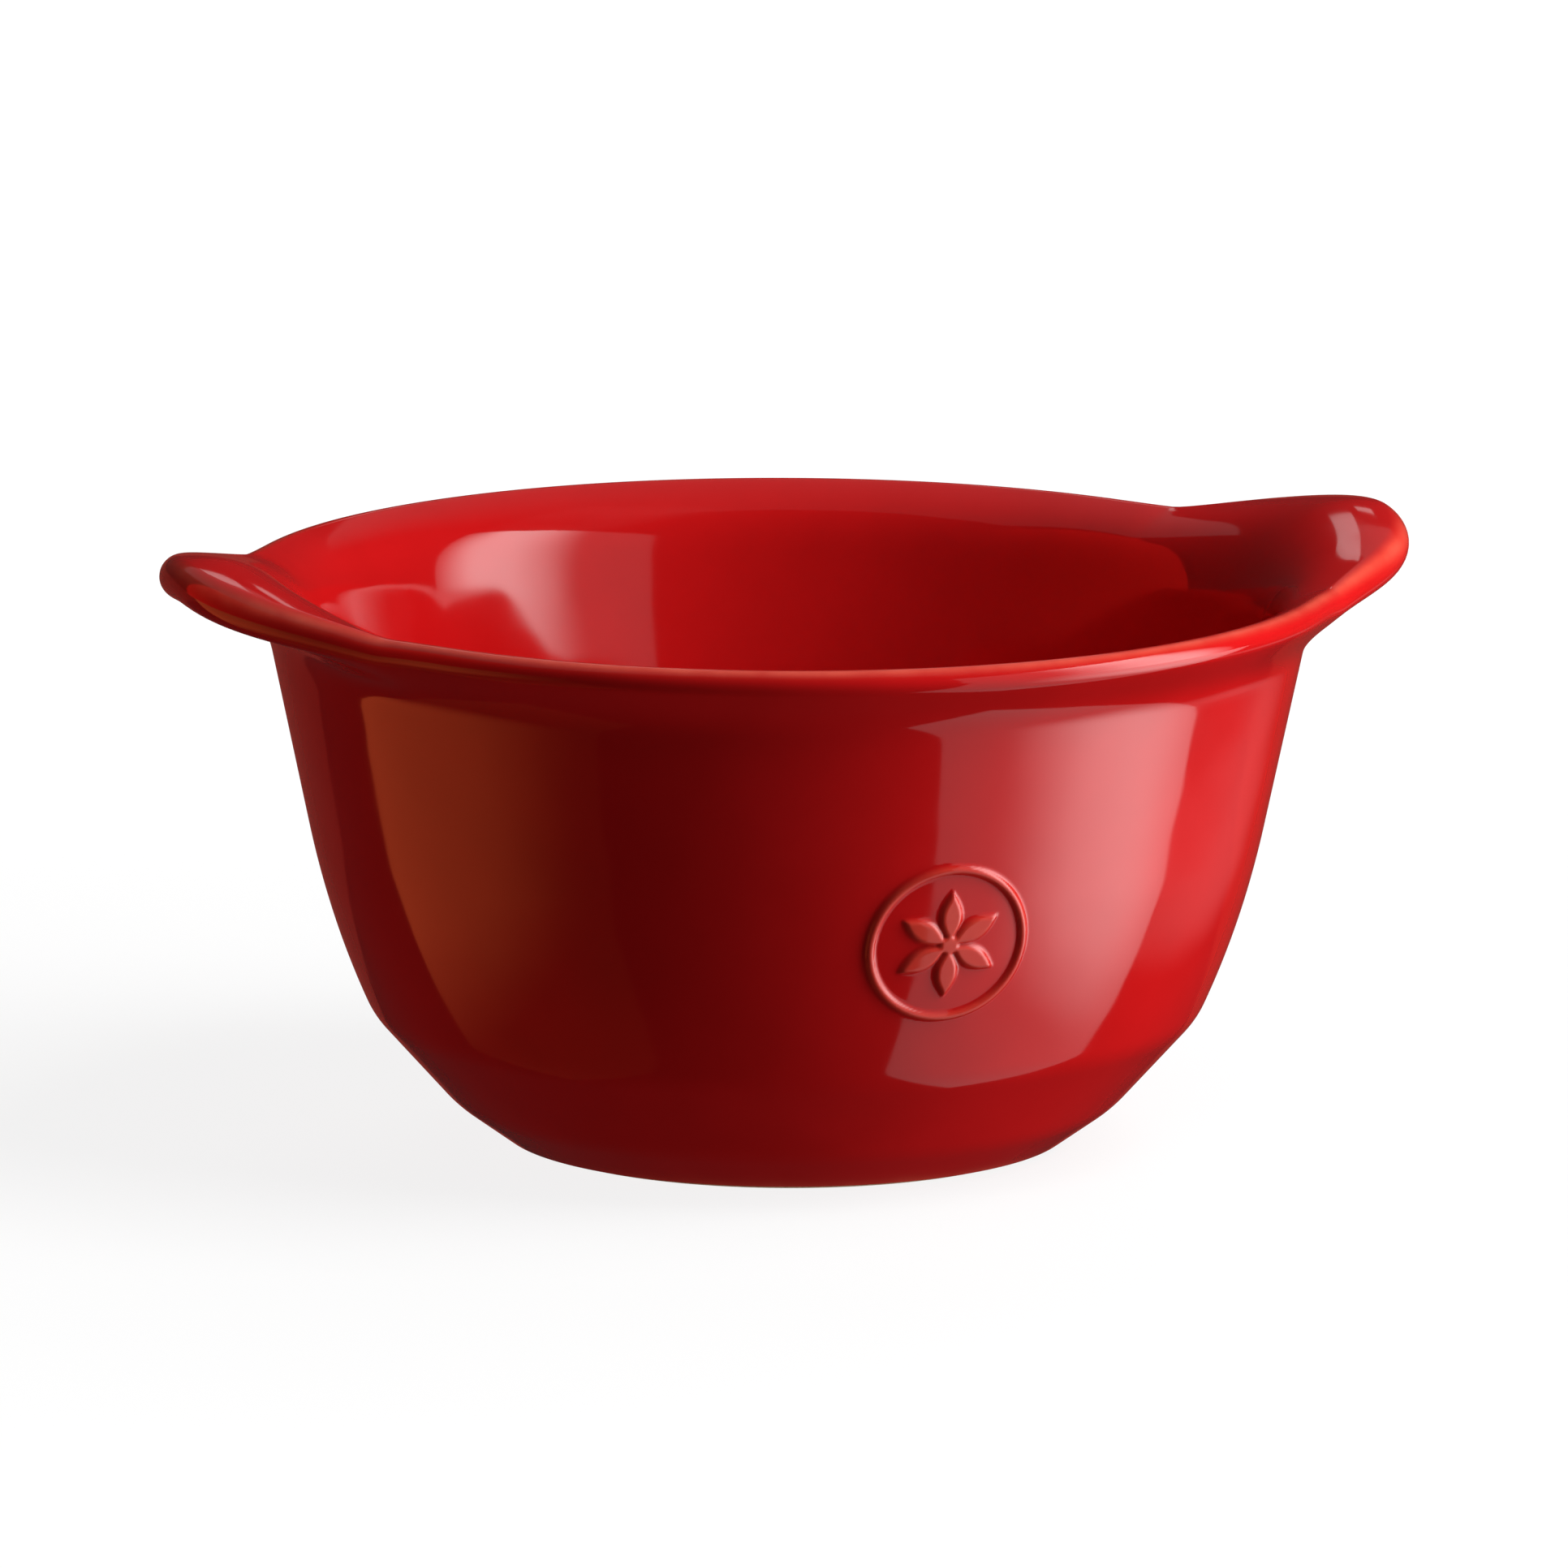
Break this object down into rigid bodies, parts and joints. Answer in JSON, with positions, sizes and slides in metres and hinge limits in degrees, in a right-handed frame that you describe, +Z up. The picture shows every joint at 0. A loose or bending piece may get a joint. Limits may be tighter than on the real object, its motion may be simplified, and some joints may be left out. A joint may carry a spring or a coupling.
{
  "type": "gratin bowl",
  "caption": "Deep round stoneware gratin bowl with a rolled rim drawn out into ears on opposite sides, a chamfered lower wall and a low foot ring, in glossy red glaze.",
  "frame": {"origin": "middle of the foot ring, on the surface that the bowl stands on", "axes": "+X through the middle of one ear, +Z up, -Y towards the pictured front"},
  "size_m": [0.1642, 0.142, 0.079],
  "materials": {
    "clay": "fired stoneware, bare and matt at the foot ring",
    "glaze": "deep red glossy glaze, thinner and more orange along the edges"
  },
  "bodies": {
    "root": {"clay_body": "clay", "glaze_coat": "glaze", "base_glaze": "glaze"}
  },
  "joints": []
}
